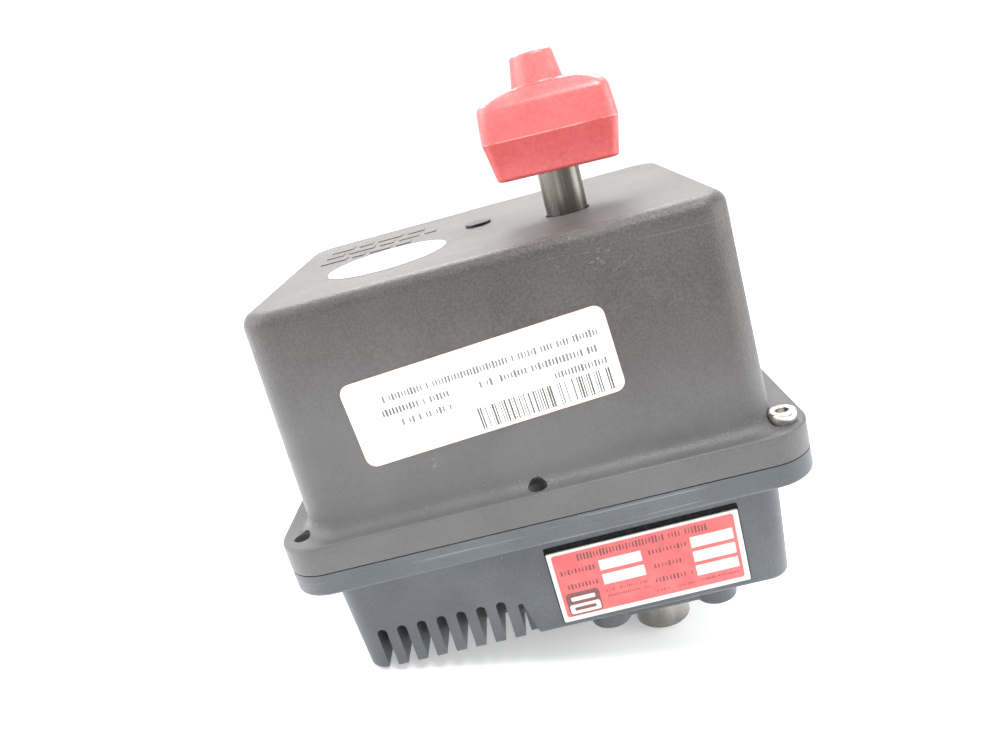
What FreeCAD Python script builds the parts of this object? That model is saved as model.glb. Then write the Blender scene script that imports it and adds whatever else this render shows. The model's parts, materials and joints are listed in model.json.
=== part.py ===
import FreeCAD, Part
import math
import os

os.makedirs("parts", exist_ok=True)

# Frame: millimetres, the drive axis is Z, the valve mounting face is z = 0.

# housing
house_x = -28.3
house_y = 16.7
parting_z = 56.0
base_bottom_z = 12.0
cover_top_z = 132.4
flange_size = (158.0, 125.0)
flange_corner = 13.0
cover_flange = 8.7
base_flange = 7.6
cover_foot = (140.5, 113.4)
cover_head = (137.5, 110.5)
cover_corner = 10.5
foot_fillet = 4.4
base_head = (138.9, 105.3)
base_foot = (136.0, 102.5)
base_corner = 7.0
wall = 4.0
base_floor_z = 17.4
parting_gap = 0.35
parting_gap_depth = 1.2

# cover screws
screw_x = 71.9
screw_y = 53.6
mid_screw_y = 58.2
cover_hole_r = 2.55
screw_r = 2.40
screw_head_r = 3.95
screw_head_h = 3.4
screw_hex = 3.2

# valve mounting pattern
pattern_pcd = 50.0
boss_r = 6.75
insert_r = 4.2
insert_hole_r = 2.5
insert_collar_r = 5.2
insert_proud = 0.5
pad_half = 21.5
pad_z = 1.5

# cooling slots on the front of the base
slot_count = 7
slot_pitch = 6.38
slot_first_x = -88.1
slot_width = 3.1
slot_foot_width = 3.1
slot_top_z = 26.8
slot_back_y = -19.0
shelf_back_y = -15.0
shelf_top_z = 31.0
shelf_end_x = -38.0

# drive sleeve and its bearings
sleeve_r = 9.5
sleeve_bottom_z = -15.0
sleeve_top_z = 69.0
socket_size = 11.1
socket_depth = 13.0
run_gap = 0.05
spring_seat_z = 3.0
bush_r = 12.5
bush_flange_r = 14.5
bush_top_z = 18.9

# override shaft and handle
shaft_r = 6.35
shaft_bottom_z = 22.0
shaft_top_z = 160.0
push_travel = 6.0
cross_pin_r = 2.5
cross_pin_half = 14.0
cross_pin_z = 41.5
handle_bottom_z = 145.2
handle_split_z = 157.2
handle_top_z = 171.2
handle_foot = (36.4, 20.0)
handle_width = 40.2
handle_depth = 24.6
stub_top_z = 179.8

# gear train
output_module = 1.25
output_teeth = 42
pinion_teeth = 12
idler_module = 1.0
idler_teeth = 44
motor_teeth = 14
pressure_angle = 25.0
backlash = 0.25
output_gear_z = 29.0
output_gear_w = 8.0
idler_gear_z = 22.0
idler_gear_w = 5.0
idler_angle = 152.7
gear_pin_r = 3.0

# gear plate
plate_z = 45.0
plate_t = 3.0
post_r = 5.0
posts = [(-82.0, -21.0), (29.0, -22.0), (-82.0, 53.0), (29.0, 53.0)]

# motor
gearbox_r = 27.0
gearbox_h = 16.0
motor_r = 24.0
motor_h = 38.0
motor_flange = 58.0
motor_screw = 24.5
motor_shaft_r = 4.0

# cams and switches
cam_low = 15.5
cam_high = 17.0
cam_w = 6.0
cam_centres = (53.5, 64.5)
switch_size = (27.8, 15.9, 10.3)
switch_front_y = 19.5
plunger_r = 2.0
nose_gap = 0.3

# rear wiring entry
entry_x = 8.0
entry_z = 31.0
entry_r = 10.3
entry_boss_r = 15.0

# plates and labels
nameplate = (58.5, 25.3)
nameplate_centre = (-2.85, 27.4)
nameplate_turn = 0.4
label_size = (76.2, 25.4)
label_centre = (-36.1, 97.0)
label_turn = 3.5
sticker_r = 19.0
sticker_centre = (-57.4, 0.0)
plug_centre = (-28.6, 21.8)
plug_r = 4.3

plate_top_z = plate_z + plate_t
idler_distance = output_module * (output_teeth + pinion_teeth) / 2
motor_distance = idler_module * (idler_teeth + motor_teeth) / 2
idler_x = idler_distance * math.cos(math.radians(idler_angle))
idler_y = idler_distance * math.sin(math.radians(idler_angle))
motor_x = idler_x - motor_distance
motor_y = idler_y


def vec(x, y, z):
    return FreeCAD.Vector(x, y, z)


def box(x0, x1, y0, y1, z0, z1):
    return Part.makeBox(x1 - x0, y1 - y0, z1 - z0, vec(x0, y0, z0))


def rod(radius, z0, z1, x=0.0, y=0.0):
    return Part.makeCylinder(radius, z1 - z0, vec(x, y, z0))


def rod_y(radius, y0, y1, x, z):
    return Part.makeCylinder(radius, y1 - y0, vec(x, y0, z), vec(0, 1, 0))


def rod_x(radius, x0, x1, y, z):
    return Part.makeCylinder(radius, x1 - x0, vec(x0, y, z), vec(1, 0, 0))


def tube(outer, inner, z0, z1, x=0.0, y=0.0):
    return rod(outer, z0, z1, x, y).cut(rod(inner, z0 - 1, z1 + 1, x, y))


def fuse(shapes):
    return shapes[0].multiFuse(shapes[1:]).removeSplitter()


def cut(shape, tools):
    return shape.cut(tools).removeSplitter()


def rounded_wire(cx, cy, width, depth, radius, z):
    hx = width / 2
    hy = depth / 2
    k = radius * (1 - math.sqrt(0.5))
    x0, x1, y0, y1 = cx - hx, cx + hx, cy - hy, cy + hy
    edges = [
        Part.LineSegment(vec(x0 + radius, y0, z), vec(x1 - radius, y0, z)).toShape(),
        Part.Arc(vec(x1 - radius, y0, z), vec(x1 - k, y0 + k, z), vec(x1, y0 + radius, z)).toShape(),
        Part.LineSegment(vec(x1, y0 + radius, z), vec(x1, y1 - radius, z)).toShape(),
        Part.Arc(vec(x1, y1 - radius, z), vec(x1 - k, y1 - k, z), vec(x1 - radius, y1, z)).toShape(),
        Part.LineSegment(vec(x1 - radius, y1, z), vec(x0 + radius, y1, z)).toShape(),
        Part.Arc(vec(x0 + radius, y1, z), vec(x0 + k, y1 - k, z), vec(x0, y1 - radius, z)).toShape(),
        Part.LineSegment(vec(x0, y1 - radius, z), vec(x0, y0 + radius, z)).toShape(),
        Part.Arc(vec(x0, y0 + radius, z), vec(x0 + k, y0 + k, z), vec(x0 + radius, y0, z)).toShape(),
    ]
    return Part.Wire(edges)


def slab(cx, cy, width, depth, radius, z0, z1):
    face = Part.Face(rounded_wire(cx, cy, width, depth, radius, z0))
    return face.extrude(vec(0, 0, z1 - z0))


def drafted(cx, cy, low, high, radius, z0, z1):
    wires = [
        rounded_wire(cx, cy, low[0], low[1], radius, z0),
        rounded_wire(cx, cy, high[0], high[1], radius, z1),
    ]
    return Part.makeLoft(wires, True, True)


def edges_at(shape, z, low=None, high=None):
    picked = []
    for edge in shape.Edges:
        bb = edge.BoundBox
        inside = low is None or (bb.XMin > low[0] and bb.XMax < high[0])
        if abs(bb.ZMin - z) < 0.01 and abs(bb.ZMax - z) < 0.01 and inside:
            picked.append(edge)
    return picked


def front_cut(points, back_y):
    """A cut straight in from the front, its outline given as (x, z) points."""
    corners = [vec(x, -40, z) for x, z in points]
    return Part.Face(Part.makePolygon(corners + corners[:1])).extrude(vec(0, back_y + 40, 0))


def hex_prism(across, z0, z1, x=0.0, y=0.0):
    corner = across / math.sqrt(3)
    points = []
    for i in range(7):
        a = math.radians(60 * i)
        points.append(vec(x + corner * math.cos(a), y + corner * math.sin(a), z0))
    return Part.Face(Part.makePolygon(points)).extrude(vec(0, 0, z1 - z0))


def cap_screw(x, y, seat_z, end_z, head_r, head_h, body_r, across):
    head = rod(head_r, seat_z, seat_z + head_h, x, y)
    head = head.makeChamfer(0.3, edges_at(head, seat_z + head_h))
    head = head.cut(hex_prism(across, seat_z + head_h * 0.4, seat_z + head_h + 1, x, y))
    return head.fuse(rod(body_r, end_z, seat_z, x, y)).removeSplitter()


def pan_screw(x, y, seat_z, end_z, head_r, head_h, body_r):
    head = rod(head_r, seat_z, seat_z + head_h, x, y)
    head = head.makeFillet(head_h * 0.45, edges_at(head, seat_z + head_h))
    slot_a = box(x - head_r * 0.6, x + head_r * 0.6, y - 0.35, y + 0.35, seat_z + head_h * 0.5, seat_z + head_h + 1)
    slot_b = slot_a.copy()
    slot_b.rotate(vec(x, y, 0), vec(0, 0, 1), 90)
    head = head.cut([slot_a, slot_b])
    return head.fuse(rod(body_r, end_z, seat_z, x, y)).removeSplitter()


def involute_angle(r, base_r):
    if r <= base_r:
        return 0.0
    a = math.acos(base_r / r)
    return math.tan(a) - a


def gear(module, teeth, z0, width, phase, x=0.0, y=0.0):
    """Spur gear with one tooth centred on the angle phase, in degrees."""
    pitch_r = module * teeth / 2
    base_r = pitch_r * math.cos(math.radians(pressure_angle))
    tip_r = pitch_r + 0.95 * module
    root_r = pitch_r - 1.2 * module
    half = (math.pi * module / 2 - backlash) / 2 / pitch_r + involute_angle(pitch_r, base_r)
    radii = [root_r] + [base_r + (tip_r - base_r) * i / 4 for i in range(5)]
    radii = [r for i, r in enumerate(radii) if i == 0 or r > root_r + 0.05]
    points = []
    for i in range(teeth):
        centre = math.radians(phase) + 2 * math.pi * i / teeth
        flank = [(r, half - involute_angle(r, base_r)) for r in radii]
        for r, a in flank:
            points.append(vec(x + r * math.cos(centre - a), y + r * math.sin(centre - a), z0))
        for r, a in reversed(flank):
            points.append(vec(x + r * math.cos(centre + a), y + r * math.sin(centre + a), z0))
    points.append(points[0])
    return Part.Face(Part.makePolygon(points)).extrude(vec(0, 0, width))


def save(node, shape):
    if not shape.isValid():
        print("invalid shape:", node)
    shape.exportStep("parts/" + node + ".step")
    print(node, len(shape.Solids), round(shape.Volume / 1000, 3))


def group(node, shapes):
    save(node, Part.makeCompound(shapes))


flange_top_z = parting_z + cover_flange
cover_holes = []
for sx in (-1, 1):
    for sy in (-1, 1):
        cover_holes.append((house_x + sx * screw_x, house_y + sy * screw_y))
cover_holes.append((house_x, house_y - mid_screw_y))
cover_holes.append((house_x, house_y + mid_screw_y))

# the front right and the three rear screws are fitted
fitted_holes = [cover_holes[2], cover_holes[1], cover_holes[3], cover_holes[5]]

# cover
flange = slab(house_x, house_y, flange_size[0], flange_size[1], flange_corner, parting_z, flange_top_z)
flange = flange.makeFillet(0.9, edges_at(flange, flange_top_z))
body = drafted(house_x, house_y, cover_foot, cover_head, cover_corner, flange_top_z - 1, cover_top_z)
body = body.makeFillet(4.2, edges_at(body, cover_top_z))
cover = fuse([flange, body])
inner_low = (house_x - cover_foot[0] / 2 - 0.5, 0)
inner_high = (house_x + cover_foot[0] / 2 + 0.5, 0)
cover = cover.makeFillet(foot_fillet, edges_at(cover, flange_top_z, inner_low, inner_high))
room_foot = (cover_foot[0] - 2 * wall, cover_foot[1] - 2 * wall)
room_head = (cover_head[0] - 2 * wall, cover_head[1] - 2 * wall)
room = drafted(house_x, house_y, room_foot, room_head, cover_corner - wall, parting_z - 1, cover_top_z - wall)
cover = cut(cover, [room])
cover = fuse([cover, rod(12.5, 116.0, cover_top_z - wall + 0.5)])
cover_tools = [rod(8.5, 115.0, 130.6), rod(shaft_r + 0.45, 130.0, 134.0), rod(plug_r, 131.0, 134.0, *plug_centre)]
for x, y in cover_holes:
    fitted = (x, y) in fitted_holes
    spot_r = 4.12 if fitted else 3.0
    spot_h = screw_head_h + 0.3 if fitted else 0.5
    cover_tools.append(rod(cover_hole_r, parting_z - 1, flange_top_z + 1, x, y))
    cover_tools.append(rod(spot_r, flange_top_z, flange_top_z + spot_h, x, y))
    cover_tools.append(Part.makeCone(spot_r, 1.6, 3.2 if fitted else 2.2, vec(x, y, flange_top_z + spot_h)))
cover = cut(cover, cover_tools)
cast_marks = []
for row, widths in enumerate([(8, 5, 9, 6), (6, 9, 5, 7, 4), (9, 4, 7, 5)]):
    x = -84.0
    for width in widths:
        y = 48.0 - 11.0 * row
        cast_marks.append(box(x, x + width, y - 2.6, y + 2.6, cover_top_z - 0.2, cover_top_z + 0.25))
        x += width + 2.2
cover = fuse([cover] + cast_marks)
save("cover", cover)
plug = rod(plug_r - 0.02, 131.0, cover_top_z + 0.95, *plug_centre)
save("top_plug", plug.makeFillet(0.2, edges_at(plug, cover_top_z + 0.95)))

# base
flange = slab(house_x, house_y, flange_size[0], flange_size[1], flange_corner, parting_z - base_flange, parting_z)
flange = flange.makeFillet(1.5, edges_at(flange, parting_z - base_flange))
body = drafted(house_x, house_y, base_foot, base_head, base_corner, base_bottom_z, parting_z - base_flange)
body = body.makeFillet(1.4, edges_at(body, base_bottom_z))
bosses = []
boss_at = pattern_pcd / 2 * math.sqrt(0.5)
boss_centres = [(sx * boss_at, sy * boss_at) for sx in (-1, 1) for sy in (-1, 1)]
for x, y in boss_centres:
    boss = rod(boss_r, insert_proud, base_bottom_z, x, y)
    bosses.append(boss.makeFillet(0.8, edges_at(boss, insert_proud)))
pad = slab(0, 0, 2 * pad_half, 2 * pad_half, 7.0, pad_z, base_bottom_z)
pad = fuse([pad.makeFillet(1.0, edges_at(pad, pad_z))] + bosses)
pad_tools = [rod(bush_r, pad_z + 4.0, base_bottom_z + 1), rod(13.5, pad_z - 1, pad_z + 4.0)]
pad_tools += [rod(insert_r + 0.02, -1, base_bottom_z + 1, x, y) for x, y in boss_centres]
save("mount_pad", cut(pad, pad_tools))
entry_face_y = house_y + base_head[1] / 2 + 2.5
entry_boss = rod_y(entry_boss_r, house_y + 20, entry_face_y, entry_x, entry_z)
base = fuse([flange, body, entry_boss])
room_low = (base_foot[0] - 2 * wall, base_foot[1] - 2 * wall)
room_high = (base_head[0] - 2 * wall, base_head[1] - 2 * wall)
room = drafted(house_x, house_y, room_low, room_high, base_corner - 3, base_floor_z, parting_z + 1)
shelf = box(-110, shelf_end_x, -60, shelf_back_y, 0, shelf_top_z)
base = cut(base, [room.cut(shelf)])
inner_parts = [base]
for x, y in posts:
    inner_parts.append(rod(post_r, base_floor_z - 1, plate_z, x, y))
inner_parts.append(rod(6.0, base_floor_z - 1, idler_gear_z - 0.6, idler_x, idler_y))
entry_sleeve = rod_y(entry_boss_r, house_y + base_foot[1] / 2 - wall - 3, house_y + base_foot[1] / 2 - 1,
                     entry_x, entry_z)
inner_parts.append(entry_sleeve.cut(box(-50, 60, 0, 90, 0, base_floor_z - 1)))
base = fuse(inner_parts)
base_tools = [
    rod(bush_r, base_bottom_z - 1, base_floor_z + 1),
    rod(gear_pin_r + 0.02, base_floor_z - 2, idler_gear_z + 1, idler_x, idler_y),
    rod_y(entry_r + 1.2, house_y + 20, entry_face_y + 1, entry_x, entry_z),
]
for x, y in cover_holes:
    base_tools.append(rod(screw_r + 0.05, parting_z - base_flange - 1, parting_z + 1, x, y))
for x, y in posts:
    base_tools.append(rod(1.55, plate_z - 12, plate_z + 1, x, y))
for i in range(slot_count):
    x = slot_first_x + slot_pitch * i
    mid_z = slot_top_z - slot_width / 2
    base_tools.append(front_cut([
        (x - slot_width / 2, mid_z), (x - slot_foot_width / 2, base_bottom_z + 0.8),
        (x - slot_foot_width / 2 - 0.4, base_bottom_z), (x - slot_foot_width / 2 - 0.4, base_bottom_z - 1),
        (x + slot_foot_width / 2 + 0.4, base_bottom_z - 1), (x + slot_foot_width / 2 + 0.4, base_bottom_z),
        (x + slot_foot_width / 2, base_bottom_z + 0.8), (x + slot_width / 2, mid_z)], slot_back_y))
    base_tools.append(rod_y(slot_width / 2, -40, slot_back_y, x, mid_z))
last_x = slot_first_x + slot_pitch * slot_count
wedge = [(last_x - 1.55, base_bottom_z - 1), (last_x + 3.6, base_bottom_z - 1), (last_x + 0.4, 24.4), (last_x - 1.2, 24.4)]
base_tools.append(front_cut(wedge, -31.6))
base_tools.append(front_cut([wedge[0], (last_x + 0.3, base_bottom_z - 1), (last_x - 0.2, 24.0), wedge[3]], slot_back_y))
outline = slab(house_x, house_y, flange_size[0] + 2, flange_size[1] + 2, flange_corner, parting_z - parting_gap, parting_z + 1)
base_tools.append(outline.cut(slab(house_x, house_y, flange_size[0] - 2 * parting_gap_depth,
                                   flange_size[1] - 2 * parting_gap_depth, flange_corner - parting_gap_depth,
                                   parting_z - 1, parting_z + 2)))
seal_groove = slab(house_x, house_y, 143.0, 110.0, 8.0, parting_z - 1.4, parting_z + 1)
seal_inner = slab(house_x, house_y, 138.0, 105.0, 5.5, parting_z - 2.0, parting_z + 2)
base_tools.append(seal_groove.cut(seal_inner))
base = cut(base, base_tools)
save("base", base)

gasket = slab(house_x, house_y, 142.9, 109.9, 7.95, parting_z - 1.4, parting_z)
save("cover_gasket", gasket.cut(slab(house_x, house_y, 138.1, 105.1, 5.55, parting_z - 2.0, parting_z + 1)))

group("cover_screws", [cap_screw(x, y, flange_top_z, 50.5, screw_head_r, screw_head_h, screw_r, screw_hex)
                       for x, y in fitted_holes])

inserts = []
for x, y in boss_centres:
    body = rod(insert_r, insert_proud, 11.5, x, y).fuse(rod(insert_collar_r, 0.0, insert_proud, x, y))
    hole = rod(insert_hole_r, -1, 10.0, x, y)
    inserts.append(body.cut(hole).removeSplitter())
group("mount_inserts", inserts)

insert = rod_y(entry_r + 1.18, entry_face_y - 12.5, entry_face_y, entry_x, entry_z)
insert = insert.fuse(rod_y(entry_r + 3.0, entry_face_y, entry_face_y + 1.2, entry_x, entry_z))
save("entry_insert", cut(insert, [rod_y(entry_r, entry_face_y - 20, entry_face_y + 2, entry_x, entry_z)]))

# bearings and seals
bush = rod(bush_r - 0.02, pad_z + 4.0, base_floor_z).fuse(rod(bush_flange_r, base_floor_z, bush_top_z))
save("lower_bush", cut(bush, [rod(sleeve_r + run_gap, 0, 30)]))
seal = tube(13.48, sleeve_r + run_gap, pad_z + 0.4, pad_z + 3.98)
seal = seal.cut(tube(11.9, 10.6, pad_z, pad_z + 1.6))
save("lower_seal", seal)
upper_bush = rod(8.48, 116.0, 127.0).fuse(rod(11.0, 115.0, 116.0))
save("cover_bush", cut(upper_bush, [rod(shaft_r + run_gap, 110, 140)]))
seal = tube(8.48, shaft_r + 0.07, 127.02, 130.58)
seal = seal.cut(tube(7.9, 7.0, 126.0, 128.6))
save("cover_seal", seal)

# drive sleeve
sleeve = rod(sleeve_r, sleeve_bottom_z, sleeve_top_z)
sleeve = sleeve.makeChamfer(0.6, edges_at(sleeve, sleeve_bottom_z) + edges_at(sleeve, sleeve_top_z))
sleeve = fuse([sleeve, rod(13.5, bush_top_z + 0.3, 21.2), rod(10.6, 27.6, output_gear_z)])
half = socket_size / 2
slot_low = cross_pin_z - push_travel - cross_pin_r - 0.4
slot_high = cross_pin_z + cross_pin_r + 0.3
sleeve = cut(sleeve, [
    box(-half, half, -half, half, sleeve_bottom_z - 1, sleeve_bottom_z + socket_depth),
    rod(shaft_r + run_gap, spring_seat_z, sleeve_top_z + 1),
    box(-12, 12, -cross_pin_r - 0.1, cross_pin_r + 0.1, slot_low, slot_high),
])
save("drive_sleeve", sleeve)

# output gear with the clutch recess in its top face
recess_r = cross_pin_half + 0.6
wheel = gear(output_module, output_teeth, output_gear_z, output_gear_w, idler_angle)
wheel = wheel.cut(tube(22.5, 17.5, output_gear_z - 1, output_gear_z + 2.0))
wheel = cut(wheel, [
    rod(sleeve_r + 0.02, output_gear_z - 1, output_gear_z + 10),
    rod(recess_r, slot_low, output_gear_z + 10),
])
save("output_gear", wheel)

gear_top_z = output_gear_z + output_gear_w
ring = rod(18.0, gear_top_z, 43.0)
ring = cut(ring, [
    rod(recess_r, gear_top_z - 1, 39.2),
    rod(sleeve_r + 0.3, 39, 44),
    box(-recess_r, recess_r, -cross_pin_r - 0.15, cross_pin_r + 0.15, 39, 44),
] + [rod(1.3, gear_top_z - 1, 44, 16.3 * math.cos(a), 16.3 * math.sin(a)) for a in (1.05, 2.09, 4.19, 5.24)])
save("clutch_ring", ring)
group("clutch_rivets", [rod(1.28, gear_top_z, 43.4, 16.3 * math.cos(a), 16.3 * math.sin(a))
                        for a in (1.05, 2.09, 4.19, 5.24)])

# override shaft
shaft = rod(shaft_r, shaft_bottom_z, shaft_top_z)
shaft = shaft.makeChamfer(0.5, edges_at(shaft, shaft_top_z) + edges_at(shaft, shaft_bottom_z))
shaft = cut(shaft, [
    rod_x(cross_pin_r + 0.02, -20, 20, 0, cross_pin_z),
    tube(8, 5.4, 113.2, 114.8),
])
save("override_shaft", shaft)
save("cross_pin", rod_x(cross_pin_r, -cross_pin_half, cross_pin_half, 0, cross_pin_z))
clip = tube(9.0, 5.4, 113.25, 114.7).cut(box(-3, 3, -12, 0, 112, 116))
save("shaft_clip", clip)

coil_h = shaft_bottom_z - spring_seat_z - 1.4
helix = Part.makeHelix(coil_h / 6, coil_h, 4.6)
helix.translate(vec(0, 0, spring_seat_z + 0.7))
section = Part.Wire(Part.makeCircle(0.65, vec(4.6, 0, spring_seat_z + 0.7), vec(0, 1, 0)))
save("return_spring", Part.Wire(helix).makePipeShell([section], True, True))

# handle
lower = drafted(0, 0, handle_foot, (handle_width - 0.8, handle_depth - 0.8), 4.0, handle_bottom_z, handle_split_z)
lower = lower.makeFillet(1.2, edges_at(lower, handle_bottom_z))
upper = drafted(0, 0, (handle_width, handle_depth), (handle_width - 1.4, handle_depth - 2.2), 4.4,
                handle_split_z, handle_top_z)
upper = upper.makeFillet(4.2, edges_at(upper, handle_top_z))
upper = upper.makeFillet(0.25, edges_at(upper, handle_split_z))
stub = Part.makeCone(7.6, 6.4, stub_top_z - handle_top_z + 1, vec(0, 0, handle_top_z - 1))
stub = stub.makeFillet(1.0, edges_at(stub, stub_top_z))
handle = fuse([lower, upper, stub])
handle = cut(handle, [
    rod(shaft_r + 0.02, handle_bottom_z - 1, shaft_top_z + 0.1),
    rod_y(2.1, 0, 20, 0, 151.5),
])
save("handle", handle)
screw = rod_y(2.08, shaft_r + 0.05, 10.2, 0, 151.5)
key = hex_prism(2.5, 0, 2.0)
key.rotate(vec(0, 0, 0), vec(1, 0, 0), -90)
key.translate(vec(0, 8.6, 151.5))
save("handle_screw", screw.cut(key))

# gear train behind the output gear
pinion_phase = idler_angle + 180 + 180 / pinion_teeth
idler_small = gear(output_module, pinion_teeth, idler_gear_z + idler_gear_w, 11.5, pinion_phase, idler_x, idler_y)
save("idler_pinion", cut(idler_small, [rod(gear_pin_r + run_gap, 20, 50, idler_x, idler_y)]))
idler_big = gear(idler_module, idler_teeth, idler_gear_z, idler_gear_w, 180.0, idler_x, idler_y)
web = tube(18.5, 9.5, idler_gear_z + 3.4, idler_gear_z + 9, idler_x, idler_y)
save("idler_gear", cut(idler_big, [rod(gear_pin_r + run_gap, 20, 50, idler_x, idler_y), web]))
save("idler_pin", rod(gear_pin_r, base_floor_z - 2, plate_top_z - 0.4, idler_x, idler_y))
motor_gear = gear(idler_module, motor_teeth, idler_gear_z - 0.5, idler_gear_w + 1.5, 180 / motor_teeth,
                  motor_x, motor_y)
save("motor_pinion", cut(motor_gear, [rod(motor_shaft_r, 10, 50, motor_x, motor_y)]))
save("motor_shaft", rod(motor_shaft_r, idler_gear_z - 1.5, plate_top_z + 5.0, motor_x, motor_y))

# gear plate
plate = slab(-27.5, 15.5, 123.0, 86.0, 7.0, plate_z, plate_top_z)
plate_tools = [
    rod(11.8, 40, 60),
    rod(gear_pin_r + 0.02, 40, 60, idler_x, idler_y),
    rod(7.0, 40, 60, motor_x, motor_y),
    slab(8.0, 51.0, 22.0, 9.0, 4.0, 40, 60),
]
for x, y in posts:
    plate_tools.append(rod(1.8, 40, 60, x, y))
for sx in (-1, 1):
    for sy in (-1, 1):
        plate_tools.append(rod(1.5, 40, 60, motor_x + sx * motor_screw, motor_y + sy * motor_screw))
switch_holes = [(-11.1, 31.6), (11.1, 31.6)]
strap_holes = [(-68.0, 54.2), (-34.0, 54.2)]
block_y0, block_y1 = -17.0, 39.0
block_holes = [(26.5, block_y0 + 3.0), (26.5, block_y1 - 3.0)]
ground_at = (-20.0, -20.0)
for x, y in switch_holes + strap_holes + block_holes + [ground_at]:
    plate_tools.append(rod(1.5, 40, 60, x, y))
save("gear_plate", cut(plate, plate_tools))
group("plate_screws", [pan_screw(x, y, plate_top_z, plate_z - 10, 3.2, 2.2, 1.5) for x, y in posts])
bush = rod(11.78, plate_z - 0.4, plate_top_z).fuse(rod(13.5, plate_top_z, plate_top_z + 1.0))
save("plate_bush", cut(bush, [rod(sleeve_r + run_gap, 40, 60)]))

# motor with its gearbox
flange = slab(motor_x, motor_y, motor_flange, motor_flange, 6.0, plate_top_z, plate_top_z + 3.0)
gearbox_top_z = plate_top_z + 3.0 + gearbox_h
case = rod(gearbox_r, plate_top_z + 2.0, gearbox_top_z, motor_x, motor_y)
case = case.makeFillet(1.5, edges_at(case, gearbox_top_z))
ribs = []
for i in range(12):
    rib = box(motor_x + gearbox_r - 1.5, motor_x + gearbox_r + 0.9, motor_y - 1.0, motor_y + 1.0,
              plate_top_z + 2.0, gearbox_top_z - 2.5)
    rib.rotate(vec(motor_x, motor_y, 0), vec(0, 0, 1), 15 + 30 * i)
    ribs.append(rib)
gearbox = fuse([flange, case] + ribs)
gearbox_tools = [rod(motor_shaft_r + run_gap, 40, plate_top_z + 5.5, motor_x, motor_y)]
motor_screws = []
for sx in (-1, 1):
    for sy in (-1, 1):
        x = motor_x + sx * motor_screw
        y = motor_y + sy * motor_screw
        gearbox_tools.append(rod(1.6, 40, 56, x, y))
        gearbox_tools.append(rod(3.1, plate_top_z + 3.0, gearbox_top_z + 1, x, y))
        motor_screws.append(pan_screw(x, y, plate_top_z + 3.0, plate_z + 0.2, 2.8, 2.0, 1.45))
save("motor_gearbox", cut(gearbox, gearbox_tools))
group("motor_screws", motor_screws)
motor_top_z = gearbox_top_z + motor_h
can = rod(motor_r, gearbox_top_z, motor_top_z, motor_x, motor_y)
can = can.makeFillet(1.2, edges_at(can, motor_top_z))
bands = [tube(motor_r + 1, motor_r - 0.5, gearbox_top_z + h, gearbox_top_z + h + 1.0, motor_x, motor_y)
         for h in (5.0, 31.0)]
save("motor_can", cut(can, bands))
cap = rod(19.0, motor_top_z, motor_top_z + 7.0, motor_x, motor_y)
cap = cap.makeFillet(1.5, edges_at(cap, motor_top_z + 7.0))
cap_tools = [rod(6.0, motor_top_z + 5.0, motor_top_z + 9, motor_x, motor_y)]
tab_spots = [(motor_x + 12.0, motor_y - 7.0), (motor_x + 12.0, motor_y), (motor_x + 12.0, motor_y + 7.0)]
for x, y in tab_spots:
    cap_tools.append(box(x - 0.4, x + 0.4, y - 1.6, y + 1.6, motor_top_z + 2, motor_top_z + 9))
save("motor_end_cap", cut(cap, cap_tools))
group("motor_tabs", [box(x - 0.4, x + 0.4, y - 1.6, y + 1.6, motor_top_z + 2, motor_top_z + 13.0)
                     for x, y in tab_spots])


# cams: the radius rises evenly over the quarter turn, so each plunger follows at a constant ratio
def cam(centre_z, at_closed, at_open):
    points = []
    for i in range(0, 19):
        angle = 100.0 - 110.0 * i / 18
        share = (90.0 - angle) / 90.0
        r = at_closed + (at_open - at_closed) * min(max(share, 0.0), 1.0)
        points.append(vec(r * math.cos(math.radians(angle)), r * math.sin(math.radians(angle)), 0))
    curve = Part.BSplineCurve()
    curve.interpolate(points)
    edges = [curve.toShape(), Part.LineSegment(points[-1], vec(0, 0, 0)).toShape(),
             Part.LineSegment(vec(0, 0, 0), points[0]).toShape()]
    sector = Part.Face(Part.Wire(edges)).extrude(vec(0, 0, cam_w))
    sector.translate(vec(0, 0, centre_z - cam_w / 2))
    hub = rod(13.2, centre_z - cam_w / 2, centre_z + cam_w / 2)
    body = fuse([hub, sector])
    return cut(body, [
        rod(sleeve_r + 0.02, centre_z - 10, centre_z + 10),
        Part.makeCylinder(1.52, 20, vec(0, 0, centre_z), vec(-0.7, -0.72, 0)),
    ])


def cam_screw(centre_z):
    axis = vec(-0.7, -0.72, 0).normalize()
    body = Part.makeCylinder(1.5, 3.2, axis * (sleeve_r + 0.05) + vec(0, 0, centre_z), axis)
    socket = Part.makeCylinder(0.75, 2, axis * (sleeve_r + 2.2) + vec(0, 0, centre_z), axis)
    return body.cut(socket)


save("cam_lower", cam(cam_centres[0], cam_high, cam_low))
save("cam_upper", cam(cam_centres[1], cam_low, cam_high))
group("cam_screws", [cam_screw(z) for z in cam_centres])

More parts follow.
